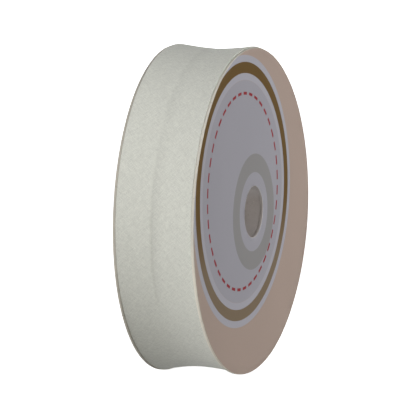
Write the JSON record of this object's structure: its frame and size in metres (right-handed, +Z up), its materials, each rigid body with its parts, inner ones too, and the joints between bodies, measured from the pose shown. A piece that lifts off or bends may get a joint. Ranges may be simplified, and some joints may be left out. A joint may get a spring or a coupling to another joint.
{
  "type": "roll of bias tape",
  "caption": "Reel of folded cotton bias tape: a saddle-shaped winding of pale tape on a card core between round card discs, with a hub hole for a peg.",
  "frame": {"origin": "on the surface that the reel stands on, under the middle of the reel", "axes": "+Z up, +X along the reel's axle towards the printed disc, +Y to the side that is far from the camera"},
  "size_m": [0.032, 0.124, 0.1238],
  "materials": {
    "printed_card": "satin printed card in lilac grey, pinkish beige and metallic gold",
    "grey_board": "plain matt grey board",
    "core_board": "plain matt spiral-wound board",
    "cotton_tape": "off-white plain-weave cotton cut on the bias, pressed into a fold"
  },
  "bodies": {
    "root": {"front_disc": "printed_card", "back_disc": "grey_board", "core": "core_board", "winding": "cotton_tape"}
  },
  "joints": []
}
